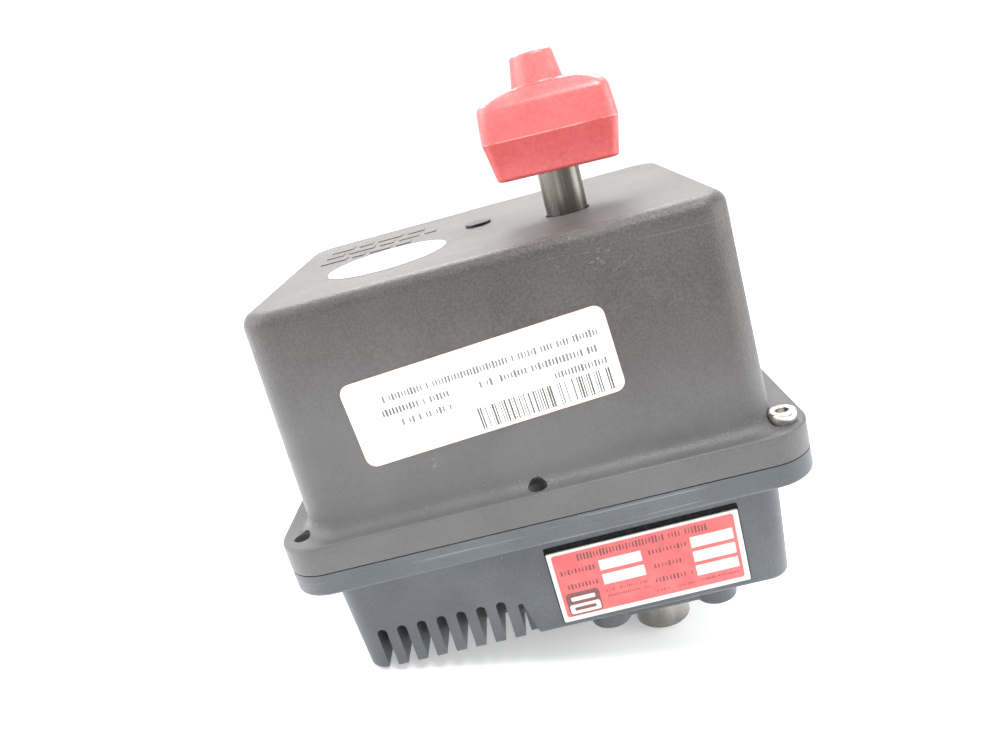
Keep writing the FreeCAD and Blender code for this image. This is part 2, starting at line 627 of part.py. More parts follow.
# limit switches
switch_bodies = []
tabs = []
for centre_z, nose_y in zip(cam_centres, (cam_high + nose_gap, cam_low + nose_gap)):
    z0 = centre_z - switch_size[2] / 2
    z1 = centre_z + switch_size[2] / 2
    y1 = switch_front_y + switch_size[1]
    body = box(-switch_size[0] / 2, switch_size[0] / 2, switch_front_y, y1, z0, z1)
    body = body.makeChamfer(0.5, body.Edges)
    tools = [rod(1.6, z0 - 1, z1 + 1, x, y) for x, y in switch_holes]
    tools.append(rod_y(plunger_r + 0.3, switch_front_y - 1, switch_front_y + 8, 0, centre_z))
    for x in (-9.0, 0.0, 9.0):
        tools.append(box(x - 2.4, x + 2.4, y1 - 2, y1 + 1, centre_z - 0.4, centre_z + 0.4))
        blade = box(x - 2.4, x + 2.4, y1 - 2, y1 + 6.0, centre_z - 0.4, centre_z + 0.4)
        tabs.append(blade.cut(rod(0.8, centre_z - 2, centre_z + 2, x, y1 + 3.8)))
    switch_bodies.append(cut(body, tools))
    tip = rod_y(plunger_r, nose_y + 0.8, switch_front_y + 4.5, 0, centre_z)
    nose = rod_y(plunger_r, nose_y, nose_y + 1.0, 0, centre_z)
    nose = nose.makeFillet(0.79, [e for e in nose.Edges if abs(e.BoundBox.YMax - nose_y) < 0.01])
    plunger = fuse([tip, nose])
    save("plunger_lower" if centre_z == cam_centres[0] else "plunger_upper", plunger)
save("switch_lower", switch_bodies[0])
save("switch_upper", switch_bodies[1])
group("switch_tabs", tabs)
shims = []
for z0, z1 in ((plate_top_z, cam_centres[0] - switch_size[2] / 2),
               (cam_centres[0] + switch_size[2] / 2, cam_centres[1] - switch_size[2] / 2)):
    shim = box(-14.5, 14.5, switch_front_y + 0.5, switch_front_y + 17.5, z0, z1)
    shims.append(cut(shim, [rod(1.6, z0 - 1, z1 + 1, x, y) for x, y in switch_holes]))
group("switch_shims", shims)
switch_top_z = cam_centres[1] + switch_size[2] / 2
group("switch_screws", [pan_screw(x, y, switch_top_z, plate_z + 0.2, 2.7, 1.9, 1.45) for x, y in switch_holes])

# capacitor on two straps
cap_y, cap_z, cap_r = 54.2, plate_top_z + 11.0, 9.5
cell = rod_x(cap_r, -77.0, -19.0, cap_y, cap_z)
cell = cell.makeFillet(1.2, [e for e in cell.Edges if e.BoundBox.XLength < 0.01])
save("capacitor", cell)
straps = []
rivets = []
for x, y in strap_holes:
    ring = rod_x(cap_r + 1.0, x - 4, x + 4, cap_y, cap_z)
    foot = box(x - 4, x + 4, cap_y - 4.0, cap_y + 4.0, plate_top_z, cap_z - 5)
    tools = [rod_x(cap_r + 0.02, x - 9, x + 9, cap_y, cap_z), rod(1.5, plate_top_z - 1, plate_top_z + 1.2, x, y)]
    straps.append(cut(fuse([ring, foot]), tools))
    head = rod(2.6, plate_z - 1.2, plate_z, x, y)
    head = head.makeFillet(0.6, edges_at(head, plate_z - 1.2))
    rivets.append(head.fuse(rod(1.48, plate_z, plate_top_z + 1.0, x, y)).removeSplitter())
group("capacitor_straps", straps)
group("strap_rivets", rivets)

# terminal block
block = box(20.0, 33.0, block_y0, block_y1, plate_top_z, plate_top_z + 9.0)
tools = []
ways = 6
for x, y in block_holes:
    tools.append(rod(1.6, plate_top_z - 1, plate_top_z + 20, x, y))
    tools.append(rod(3.0, plate_top_z + 6.0, plate_top_z + 20, x, y))
terminal_screws = []
for i in range(ways):
    y = block_y0 + 10.5 + i * 7.0
    tools.append(box(19.0, 24.6, y - 2.9, y + 2.9, plate_top_z + 4.0, plate_top_z + 10))
    tools.append(box(28.4, 34.0, y - 2.9, y + 2.9, plate_top_z + 4.0, plate_top_z + 10))
    for x in (22.4, 30.8):
        tools.append(rod(1.25, plate_top_z + 1.5, plate_top_z + 5, x, y))
        terminal_screws.append(pan_screw(x, y, plate_top_z + 4.0, plate_top_z + 2.0, 2.2, 1.8, 1.2))
save("terminal_block", cut(block, tools))
group("terminal_screws", terminal_screws)
group("block_screws", [pan_screw(x, y, plate_top_z + 6.0, plate_z + 0.2, 2.7, 1.9, 1.45) for x, y in block_holes])
save("ground_screw", pan_screw(ground_at[0], ground_at[1], plate_top_z, plate_z - 4.0, 4.2, 2.6, 1.48))


# plates and labels
def lean(shape, angle, y, z):
    """Turn a shape drawn on the plane y = 0 onto a sloping front face."""
    shape.rotate(vec(0, 0, 0), vec(1, 0, 0), angle)
    shape.translate(vec(0, y, z))
    return shape


def front_panel(width, height, radius, thick):
    panel = slab(0, 0, width, height, radius, 0, thick)
    panel.rotate(vec(0, 0, 0), vec(1, 0, 0), 90)
    return panel


base_lean = math.degrees(math.atan((base_head[1] - base_foot[1]) / 2 / (parting_z - base_flange - base_bottom_z)))
base_front_low = house_y - base_foot[1] / 2
name_y = base_front_low - (nameplate_centre[1] - base_bottom_z) * math.tan(math.radians(base_lean))
backing = front_panel(nameplate[0] + 0.6, nameplate[1] + 1.8, 0.6, 0.3)
backing.rotate(vec(0, 0, 0), vec(0, 1, 0), -nameplate_turn)
backing.translate(vec(nameplate_centre[0], 0, 0.7))
save("nameplate_backing", lean(backing, base_lean, name_y, nameplate_centre[1]))
panel = front_panel(nameplate[0], nameplate[1], 0.5, 0.5)
panel.rotate(vec(0, 0, 0), vec(0, 1, 0), -nameplate_turn)
panel.translate(vec(nameplate_centre[0], -0.3, 0))
save("nameplate", lean(panel, base_lean, name_y, nameplate_centre[1]))

cover_rise = cover_top_z - flange_top_z + 1
cover_lean = math.degrees(math.atan((cover_foot[1] - cover_head[1]) / 2 / cover_rise))
cover_front_low = house_y - cover_foot[1] / 2
label_y = cover_front_low + (label_centre[1] - flange_top_z + 1) * math.tan(math.radians(cover_lean))
label = front_panel(label_size[0], label_size[1], 3.0, 0.2)
label.rotate(vec(0, 0, 0), vec(0, 1, 0), -label_turn)
label.translate(vec(label_centre[0], 0, 0))
save("barcode_label", lean(label, -cover_lean, label_y, label_centre[1]))
save("round_sticker", rod(sticker_r, cover_top_z, cover_top_z + 0.2, sticker_centre[0], sticker_centre[1]))
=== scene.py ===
import bpy
import bmesh
import json
import math
from mathutils import Matrix, Vector


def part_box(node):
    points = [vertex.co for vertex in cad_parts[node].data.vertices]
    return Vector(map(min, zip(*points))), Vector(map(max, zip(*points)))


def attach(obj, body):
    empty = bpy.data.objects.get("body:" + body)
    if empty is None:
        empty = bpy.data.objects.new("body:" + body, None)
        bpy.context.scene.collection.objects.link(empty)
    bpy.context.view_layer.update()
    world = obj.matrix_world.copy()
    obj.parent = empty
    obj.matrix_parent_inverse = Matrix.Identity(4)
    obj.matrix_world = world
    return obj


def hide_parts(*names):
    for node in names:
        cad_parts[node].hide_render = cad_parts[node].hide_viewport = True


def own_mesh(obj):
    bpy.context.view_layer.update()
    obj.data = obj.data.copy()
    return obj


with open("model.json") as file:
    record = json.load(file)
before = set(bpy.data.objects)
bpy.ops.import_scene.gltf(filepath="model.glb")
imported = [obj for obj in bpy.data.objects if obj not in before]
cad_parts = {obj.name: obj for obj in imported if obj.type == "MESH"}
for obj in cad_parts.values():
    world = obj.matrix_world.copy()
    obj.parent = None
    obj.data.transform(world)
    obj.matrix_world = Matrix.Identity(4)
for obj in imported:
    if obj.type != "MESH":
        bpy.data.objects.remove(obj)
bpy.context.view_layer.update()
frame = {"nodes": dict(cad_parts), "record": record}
nodes = frame["nodes"]
mm = 0.001


# shader helpers

class Shade:
    def __init__(self, tree, socket=None):
        self.tree = tree
        self.socket = socket

    def node(self, kind, settings=None, values=None, out=0):
        made = self.tree.nodes.new(kind)
        for key, value in (settings or {}).items():
            setattr(made, key, value)
        for key, value in (values or {}).items():
            if isinstance(value, Shade):
                self.tree.links.new(value.socket, made.inputs[key])
            else:
                made.inputs[key].default_value = value
        return Shade(self.tree, made.outputs[out])

    def math(self, operation, *terms):
        return self.node("ShaderNodeMath", {"operation": operation}, dict(enumerate(terms)))

    def __add__(self, other): return self.math("ADD", self, other)
    def __radd__(self, other): return self.math("ADD", other, self)
    def __sub__(self, other): return self.math("SUBTRACT", self, other)
    def __rsub__(self, other): return self.math("SUBTRACT", other, self)
    def __mul__(self, other): return self.math("MULTIPLY", self, other)
    def __truediv__(self, other): return self.math("DIVIDE", self, other)
    def __gt__(self, other): return self.math("GREATER_THAN", self, other)
    def __lt__(self, other): return self.math("LESS_THAN", self, other)

    def clamp(self):
        return self.node("ShaderNodeClamp", None, {"Value": self})

    def ramp(self, low, high):                  # 0 below low, 1 above high, smooth between
        return self.node("ShaderNodeMapRange", {"interpolation_type": "SMOOTHSTEP"},
                         {"Value": self, "From Min": low, "From Max": high})

    def axis(self, name):
        return self.node("ShaderNodeSeparateXYZ", None, {0: self}, "XYZ".index(name))

    def scaled(self, x, y, z):
        return self.node("ShaderNodeVectorMath", {"operation": "MULTIPLY"}, {0: self, 1: (x, y, z)})

    def away(self, point):                      # distance from a point, in metres
        return self.node("ShaderNodeVectorMath", {"operation": "DISTANCE"}, {0: self, 1: point}, 1)

    def noise(self, scale, detail=3.0, rough=0.5):
        return self.node("ShaderNodeTexNoise", None,
                         {"Vector": self, "Scale": scale, "Detail": detail, "Roughness": rough})

    def cells(self, scale):
        return self.node("ShaderNodeTexVoronoi", {"feature": "F1"}, {"Vector": self, "Scale": scale})

    def mix(self, low, high):                   # self is the factor, low and high are colours
        return self.node("ShaderNodeMix", {"data_type": "RGBA"}, {0: self, 6: low, 7: high}, 2)


def material(name, colour, rough, metal=0.0, bump=None, **fixed):
    made = bpy.data.materials.new(name)
    made.use_nodes = True
    tree = made.node_tree
    surface = tree.nodes["Principled BSDF"]
    place = Shade(tree).node("ShaderNodeTexCoord", None, None, 3)
    for key, value in (("Base Color", colour), ("Roughness", rough), ("Metallic", metal)):
        value = value(place) if callable(value) else value
        if isinstance(value, Shade):
            tree.links.new(value.socket, surface.inputs[key])
        else:
            surface.inputs[key].default_value = value
    if bump:
        height, depth = bump(place)
        raised = place.node("ShaderNodeBump", None, {"Strength": 1.0, "Distance": depth, "Height": height})
        tree.links.new(raised.socket, surface.inputs["Normal"])
    for key, value in fixed.items():
        surface.inputs[key.replace("_", " ").title().replace("Ior", "IOR")].default_value = value
    return made


def rgb(r, g, b):
    return (r, g, b, 1.0)


# finishes

def scratch(p, start, end, wide):               # a worn line on the front, given as (x, z) ends
    dx, dz = end[0] - start[0], end[1] - start[1]
    length = math.hypot(dx, dz)
    x, z = p.axis("X") - start[0], p.axis("Z") - start[1]
    along = (x * dx + z * dz) / (length * length)
    off = (x * dz - z * dx) / length + p.noise(140, 2) * 0.0012 - 0.0006
    inside = (along > 0.0) * (along < 1.0)
    return (1 - off.math("ABSOLUTE", off).ramp(wide * 0.4, wide)) * inside


def chips(p, centre, reach, stretch, turn, cut):
    spot = p.node("ShaderNodeMapping", None,
                  {"Vector": p, "Rotation": (0, turn, 0), "Scale": (stretch, 1, 1.3)})
    return (1 - p.away(centre).ramp(reach * 0.35, reach)) * spot.noise(1100, 3, 0.65).ramp(cut, cut + 0.07)


# one colour here is painted bounce light for the lower, left part of the cover front
coverLook = {"dark": rgb(0.030, 0.026, 0.024), "light": rgb(0.082, 0.074, 0.070),
             "paintedBounce": rgb(0.108, 0.107, 0.111), "dust": rgb(0.34, 0.30, 0.27),
             "rubbed": rgb(0.32, 0.34, 0.38), "grain": 1900, "grainDepth": 0.00013, "rough": 0.45}
# centre, reach, stretch, turn, cut and strength
coverChips = (((0.0025, -0.0388, 0.1245), 0.0060, 0.5, 0.9, 0.60, 0.38),
              ((-0.0085, -0.0385, 0.1265), 0.0036, 0.45, -0.3, 0.60, 0.30),
              ((-0.0545, -0.0395, 0.0795), 0.0030, 0.6, 0.6, 0.57, 0.45))
# both ends as (x, z), width and strength
coverScratches = (((0.014, 0.1262), (0.040, 0.1255), 0.0002, 0.09),
                  ((0.006, 0.1195), (0.012, 0.1225), 0.0002, 0.10))


def coverColour(p):
    grain = p.noise(1500, 2, 0.6).ramp(0.28, 0.74)
    cloud = p.noise(26, 4, 0.6).ramp(0.3, 0.75)
    base = (grain * 0.62 + cloud * 0.38).mix(coverLook["dark"], coverLook["light"])
    # mask for painted bounce light, heavier low down and towards the left
    paintedBounce = (1 - (p.axis("Z") + p.axis("X") * 0.25).ramp(0.062, 0.128)) * (0.55 + cloud * 0.25)
    base = paintedBounce.mix(base, coverLook["paintedBounce"])     # painted bounce light: a paler, cooler tone low down and towards the left
    foot = (1 - p.axis("Z").ramp(0.067, 0.073)) * p.axis("Z").ramp(0.0645, 0.0655)
    fleck = p.noise(1900, 1, 0.5).ramp(0.70, 0.74) * p.noise(45, 2).ramp(0.42, 0.6)
    base = (fleck * (0.10 + foot * 0.55)).mix(base, coverLook["dust"])
    marks = 0.0
    for *spot, strength in coverChips:
        marks = marks + chips(p, *spot) * strength
    for *line, strength in coverScratches:
        marks = marks + scratch(p, *line) * strength
    return marks.clamp().mix(base, coverLook["rubbed"])


def coverRough(p):
    streak = p.scaled(1, 1, 6).noise(30, 3, 0.6).ramp(0.3, 0.75)
    return coverLook["rough"] - 0.05 + streak * 0.10


def coverBump(p):
    grain = p.noise(coverLook["grain"], 2, 0.6)
    pits = p.cells(coverLook["grain"] * 0.8)
    wave = p.noise(55, 2, 0.4)
    return grain * 1.1 + pits * 0.35 + wave * 0.25, coverLook["grainDepth"]


baseLook = {"dark": rgb(0.044, 0.051, 0.059), "light": rgb(0.082, 0.092, 0.104),
            "scratch": rgb(0.22, 0.23, 0.25), "grain": 1500, "grainDepth": 0.00004}


def fineScratches(p, turn, wide, tall, at):
    turned = p.node("ShaderNodeMapping", None,
                    {"Vector": p, "Rotation": (0, turn, 0), "Scale": (wide, wide, tall)})
    return turned.noise(1.0, 3, 0.7).ramp(at, at + 0.06)


def baseColour(p):
    grain = p.noise(1700, 2, 0.6).ramp(0.3, 0.72)
    cloud = p.noise(30, 4, 0.6).ramp(0.3, 0.75)
    base = (grain * 0.35 + cloud * 0.65).mix(baseLook["dark"], baseLook["light"])
    rim = p.axis("Z").ramp(0.0478, 0.0488)
    rub = fineScratches(p, 0.03, 14, 1300, 0.58) * p.noise(32, 2).ramp(0.42, 0.58)
    nick = p.noise(520, 2, 0.6).ramp(0.70, 0.73) * p.noise(40, 2).ramp(0.45, 0.55)
    return (rub * (0.05 + rim * 0.42) + nick * 0.30).clamp().mix(base, baseLook["scratch"])


def baseRough(p):
    return 0.38 + p.noise(40, 3).ramp(0.3, 0.7) * 0.12


def baseBump(p):
    return p.noise(baseLook["grain"], 2, 0.5) * 0.8 + p.noise(60, 2) * 1.8, baseLook["grainDepth"]


handleLook = {"dark": rgb(0.58, 0.090, 0.090), "light": rgb(0.69, 0.135, 0.133),
              "worn": rgb(0.78, 0.34, 0.32), "seamZ": 0.1572, "skew": 0.03}


def handleColour(p):
    grain = p.noise(900, 2, 0.6).ramp(0.3, 0.7) * 0.5 + p.noise(45, 3).ramp(0.3, 0.7) * 0.5
    base = grain.mix(handleLook["dark"], handleLook["light"])
    wear = p.noise(700, 3, 0.6).ramp(0.62, 0.72) * p.noise(70, 2).ramp(0.5, 0.7)
    # thin worn line at the mould seam
    off = p.axis("Z") + p.axis("X") * handleLook["skew"] - handleLook["seamZ"]
    seam = (1 - off.math("ABSOLUTE", off).ramp(0.00010, 0.00028)) * p.noise(260, 2).ramp(0.35, 0.6)
    return ((wear * 0.22 + seam * 0.7).clamp()).mix(base, handleLook["worn"])


def handleRough(p):
    return 0.27 + p.noise(90, 3).ramp(0.3, 0.7) * 0.10


def handleBump(p):
    return p.noise(1100, 2, 0.5) * 0.9 + p.noise(160, 2) * 0.8, 0.00006


def metalColour(dark, light, sx, sy, sz):
    return lambda p: p.scaled(sx, sy, sz).noise(1.0, 3, 0.6).ramp(0.3, 0.7).mix(dark, light)


def metalRough(low, spread, sx, sy, sz):
    return lambda p: low + p.scaled(sx, sy, sz).noise(1.0, 3, 0.6).ramp(0.25, 0.75) * spread


def metalBump(sx, sy, sz, depth):
    return lambda p: (p.scaled(sx, sy, sz).noise(1.0, 2, 0.6), depth)


def plainBump(scale, depth):
    return lambda p: (p.noise(scale, 3, 0.55), depth)


def plainColour(dark, light, scale):
    return lambda p: p.noise(scale, 4, 0.6).ramp(0.3, 0.7).mix(dark, light)


coverPlastic = material("coverPlastic", coverColour, coverRough, bump=coverBump, specular_ior_level=0.42,
                        sheen_weight=0.10, sheen_roughness=0.35)
basePlastic = material("basePlastic", baseColour, baseRough, bump=baseBump, sheen_weight=0.12,
                       sheen_roughness=0.35)
handlePlastic = material("handlePlastic", handleColour, handleRough, bump=handleBump)
drawnBar = material("drawnBar", metalColour(rgb(0.11, 0.10, 0.088), rgb(0.18, 0.165, 0.145), 700, 700, 6),
                    metalRough(0.22, 0.12, 900, 900, 30), 1.0, metalBump(1600, 1600, 30, 0.000004))
turnedSteel = material("turnedSteel",
                       metalColour(rgb(0.20, 0.195, 0.18), rgb(0.33, 0.325, 0.305), 90, 90, 30),
                       metalRough(0.14, 0.12, 40, 40, 5200), 1.0, metalBump(20, 20, 6500, 0.000004))
# darker steel for the faces inside the hex socket: painted shade in the recess
socketPaintedShade = material("socketPaintedShade",
                       metalColour(rgb(0.12, 0.11, 0.09), rgb(0.30, 0.27, 0.22), 500, 500, 500),
                       metalRough(0.4, 0.2, 500, 500, 500), 1.0, metalBump(900, 900, 900, 0.00001))
screwSteel = material("screwSteel",
                      metalColour(rgb(0.46, 0.455, 0.435), rgb(0.74, 0.73, 0.71), 600, 600, 600),
                      metalRough(0.22, 0.15, 500, 500, 500), 1.0, metalBump(900, 900, 900, 0.00001))
gearSteel = material("gearSteel", metalColour(rgb(0.28, 0.27, 0.26), rgb(0.5, 0.49, 0.47), 300, 300, 900),
                     metalRough(0.3, 0.2, 300, 300, 900), 1.0, metalBump(500, 500, 1500, 0.00002))
bronzeFinish = material("bronzeFinish", plainColour(rgb(0.42, 0.24, 0.10), rgb(0.62, 0.40, 0.19), 400),
                        metalRough(0.4, 0.2, 300, 300, 300), 1.0, plainBump(2200, 0.00003))
brassFinish = material("brassFinish", plainColour(rgb(0.60, 0.44, 0.18), rgb(0.80, 0.62, 0.30), 300),
                       metalRough(0.25, 0.2, 300, 300, 900), 1.0, plainBump(1500, 0.00001))
sealRubber = material("sealRubber", plainColour(rgb(0.010, 0.010, 0.010), rgb(0.024, 0.023, 0.022), 500),
                      metalRough(0.6, 0.2, 300, 300, 300), bump=plainBump(1800, 0.00003))
millAluminium = material("millAluminium",
                         metalColour(rgb(0.55, 0.56, 0.57), rgb(0.74, 0.75, 0.76), 20, 900, 900),
                         metalRough(0.3, 0.2, 15, 900, 900), 1.0, metalBump(20, 1800, 1800, 0.00001))
castAlloy = material("castAlloy", plainColour(rgb(0.36, 0.37, 0.38), rgb(0.56, 0.57, 0.58), 220),
                     metalRough(0.45, 0.2, 300, 300, 300), 1.0, plainBump(1300, 0.00008))
motorPaint = material("motorPaint", plainColour(rgb(0.020, 0.020, 0.022), rgb(0.040, 0.040, 0.043), 60),
                      metalRough(0.3, 0.15, 100, 100, 100), bump=plainBump(700, 0.00003))
creamNylon = material("creamNylon", plainColour(rgb(0.62, 0.57, 0.44), rgb(0.76, 0.71, 0.58), 80),
                      metalRough(0.4, 0.15, 100, 100, 100), bump=plainBump(1200, 0.00002))
camNylon = material("camNylon", plainColour(rgb(0.55, 0.34, 0.05), rgb(0.72, 0.48, 0.10), 120),
                    metalRough(0.4, 0.15, 100, 100, 100), bump=plainBump(1200, 0.00002))
foamBlack = material("foamBlack", plainColour(rgb(0.004, 0.004, 0.004), rgb(0.012, 0.012, 0.012), 700),
                     metalRough(0.85, 0.1, 300, 300, 300), bump=plainBump(1500, 0.00005),
                     specular_ior_level=0.15)
# black finish for the raised plug on the top: the black is painted shade along the plug's edge
plugPaintedShade = material("plugPaintedShade", plainColour(rgb(0.006, 0.006, 0.006), rgb(0.020, 0.020, 0.019), 500),
                      metalRough(0.3, 0.1, 300, 300, 300), bump=plainBump(1500, 0.00003))
switchBlack = material("switchBlack", plainColour(rgb(0.018, 0.018, 0.019), rgb(0.036, 0.036, 0.038), 120),
                       metalRough(0.42, 0.15, 100, 100, 100), bump=plainBump(1500, 0.00002))

bySlot = {"cover_plastic": coverPlastic, "base_plastic": basePlastic, "red_plastic": handlePlastic,
          "stainless": turnedSteel, "zinc_steel": screwSteel, "gear_steel": gearSteel,
          "spring_steel": gearSteel, "bronze": bronzeFinish, "brass": brassFinish, "seal_rubber": sealRubber,
          "plate_aluminium": millAluminium, "cast_alloy": castAlloy, "motor_paint": motorPaint,
          "cream_nylon": creamNylon, "cam_nylon": camNylon, "switch_black": switchBlack,
          "white_label": creamNylon, "red_plate": handlePlastic}
# the top plug's black finish paints the shade along its edge
ownFinish = {"override_shaft": drawnBar, "cover_screws": screwSteel, "mount_inserts": screwSteel,
             "nameplate_backing": foamBlack, "top_plug": plugPaintedShade}
for part in frame["record"]["subparts"]:
    node = nodes[part["node"]]
    finish = ownFinish.get(part["node"], bySlot[part["material_slot"]])
    node.data.materials.clear()
    node.data.materials.append(finish)
print("finishes on the frame's own parts")


# mesh helpers

def meshObject(name, points, faces, materials, indices=None, smooth=True):
    mesh = bpy.data.meshes.new(name)
    mesh.from_pydata(points, [], faces)
    for finish in materials:
        mesh.materials.append(finish)
    if indices:
        mesh.polygons.foreach_set("material_index", indices)
    mesh.polygons.foreach_set("use_smooth", [smooth] * len(faces))
    mesh.update()
    made = bpy.data.objects.new(name, mesh)
    bpy.context.scene.collection.objects.link(made)
    return made


def outward(piece):
    work = bmesh.new()
    work.from_mesh(piece.data)
    bmesh.ops.remove_doubles(work, verts=work.verts, dist=1e-7)
    bmesh.ops.recalc_face_normals(work, faces=work.faces)
    work.to_mesh(piece.data)
    work.free()


def roundedRing(hx, hy, radius, z, cornerSteps=8, sideSteps=6):
    points = []
    corners = ((hx - radius, hy - radius, 0), (radius - hx, hy - radius, 90),
               (radius - hx, radius - hy, 180), (hx - radius, radius - hy, 270))
    for i, (cx, cy, start) in enumerate(corners):
        arc = []
        for step in range(cornerSteps + 1):
            angle = math.radians(start + 90 * step / cornerSteps)
            arc.append(Vector((cx + radius * math.cos(angle), cy + radius * math.sin(angle), z)))
        nx, ny, _ = corners[(i + 1) % 4]
        nextStart = math.radians(corners[(i + 1) % 4][2])
        target = Vector((nx + radius * math.cos(nextStart), ny + radius * math.sin(nextStart), z))
        points += arc
        points += [arc[-1].lerp(target, step / sideSteps) for step in range(1, sideSteps)]
    return points


def ringFaces(count, rows, start=0):            # the sides, then both ends
    faces = []
    for low in range(start, start + (rows - 1) * count, count):
        for i in range(count):
            j = (i + 1) % count
            faces.append((low + i, low + j, low + count + j, low + count + i))
    last = start + (rows - 1) * count
    return faces + [tuple(range(start + count - 1, start - 1, -1)), tuple(range(last, last + count))]


def skin(name, rings, materials):
    points = [p * mm for ring in rings for p in ring]
    piece = meshObject(name, points, ringFaces(len(rings[0]), len(rings)), materials)
    outward(piece)
    return piece


# handle

handleSize = {"bottomZ": 145.25, "splitZ": 157.2, "boreRadius": 6.42, "boreDeep": 9.0, "boreMouth": 0.9,
              "foot": (18.25, 10.0), "footCorner": 3.6, "footLift": 0.55, "edge": 1.1, "edgeSteps": 5,
              "belowSeam": (19.95, 12.15), "aboveSeam": (20.08, 12.28), "corner": 4.3,
              "shoulder": (19.25, 11.7, 165.6), "swell": (0.4, 0.25, 4.0), "skew": 0.03}
# half width, half depth, corner radius and height over the rounded crown
crownRings = [(19.1, 11.5, 4.2, 166.3), (18.7, 11.0, 4.2, 167.1), (18.0, 10.3, 4.0, 167.9),
              (17.0, 9.5, 3.9, 168.7), (16.2, 8.9, 3.8, 169.2), (15.2, 8.4, 3.8, 169.6),
              (13.8, 8.0, 3.9, 169.95), (12.0, 7.9, 4.6, 170.2)]
# radius and height up the round stub
stubRings = [(7.95, 170.5), (7.72, 170.75), (7.55, 171.2), (7.1, 174.0), (6.38, 178.2), (6.24, 178.65),
             (5.9, 179.05), (5.2, 179.38), (4.0, 179.62), (2.4, 179.74), (0.8, 179.78)]


def makeHandle():
    size = handleSize
    low, split, bore, edge = size["bottomZ"], size["splitZ"], size["boreRadius"], size["edge"]
    corner = size["corner"]
    rings = []

    def add(halfX, halfY, radius, z, lean=1.0):
        ring = roundedRing(halfX, halfY, min(radius, halfX - 1e-3, halfY - 1e-3), z)
        for point in ring:
            point.z -= size["skew"] * lean * point.x
        rings.append(ring)

    add(bore, bore, bore, low + size["boreDeep"], 0)
    add(bore, bore, bore, low + size["boreMouth"], 0)
    add(bore + 0.3, bore + 0.3, bore + 0.3, low + 0.6, 0.3)
    footX, footY = size["foot"]
    for step in range(size["edgeSteps"] + 1):    # rounded lower edge
        angle = math.radians(90 * step / size["edgeSteps"])
        inset = edge * (1 - math.sin(angle))
        add(footX - inset, footY - inset, size["footCorner"] - inset,
            low + size["footLift"] + edge * (1 - math.cos(angle)))
    for (halfX, halfY), z in ((size["belowSeam"], split - 0.16), (size["aboveSeam"], split - 0.06),
                              (size["aboveSeam"], split + 0.1)):
        add(halfX, halfY, corner, z)
    halfX, halfY, z = size["shoulder"]
    swellX, swellY, down = size["swell"]
    add(halfX + swellX, halfY + swellY, corner, z - down)
    add(halfX, halfY, corner, z)
    for i, (halfX, halfY, radius, z) in enumerate(crownRings):
        add(halfX, halfY, radius, z, 1 - i / 12)
    for i, (radius, z) in enumerate(stubRings):
        add(radius, radius, radius, z, 0.25 if i == 0 else 0)
    return skin("handleGrip", rings, [handlePlastic])


handle = makeHandle()
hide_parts("handle")
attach(handle, "override")
print("handle")


# Geometry Nodes helpers

class Tree:
    def __init__(self, name, inputs):
        self.group = bpy.data.node_groups.new(name, "GeometryNodeTree")
        self.keys = {}
        for label, kind, value in inputs:
            socket = self.group.interface.new_socket(label, in_out="INPUT", socket_type=kind)
            if value is not None:
                socket.default_value = value
            self.keys[label] = socket.identifier
        self.group.interface.new_socket("Geometry", in_out="OUTPUT", socket_type="NodeSocketGeometry")
        self.inside = self.group.nodes.new("NodeGroupInput")
        self.end = self.group.nodes.new("NodeGroupOutput")

    def take(self, label):
        return self.inside.outputs[label]

    def add(self, kind, settings=None, values=None, out=0):
        made = self.group.nodes.new(kind)
        for key, value in (settings or {}).items():
            setattr(made, key, value)
        for key, value in (values or {}).items():
            if isinstance(value, bpy.types.NodeSocket):
                self.group.links.new(value, made.inputs[key])
            else:
                made.inputs[key].default_value = value
        return made.outputs[out]

    def close(self, geometry, finish, *others):
        done = self.add("GeometryNodeRealizeInstances", None, {0: geometry})
        done = self.add("GeometryNodeSetMaterial", None, {"Geometry": done, "Material": finish})
        for chosen, otherFinish in others:
            done = self.add("GeometryNodeSetMaterial", None,
                            {"Geometry": done, "Selection": chosen, "Material": otherFinish})
        self.group.links.new(done, self.end.inputs[0])

    def run(self, name, values, source=None):
        host = bpy.data.objects.new(name, source or bpy.data.meshes.new(name))
        bpy.context.scene.collection.objects.link(host)
        modifier = host.modifiers.new("build", "NODES")
        modifier.node_group = self.group
        for label, value in values.items():
            modifier[self.keys[label]] = value
        depsgraph = bpy.context.evaluated_depsgraph_get()
        result = bpy.data.meshes.new_from_object(host.evaluated_get(depsgraph))
        host.modifiers.clear()
        old = host.data
        host.data = result
        result.name = name
        bpy.data.meshes.remove(old)
        return host


def place(piece, matrix):
    piece.data.transform(matrix)
    piece.data.update()
    return piece


# cover screws

screwSize = {"headRadius": 3.95, "headHeight": 3.4, "hexAcross": 3.5, "hexDepth": 1.9, "shankRadius": 2.40,
             "shankLength": 13.8, "sides": 36, "backInset": 4.6}


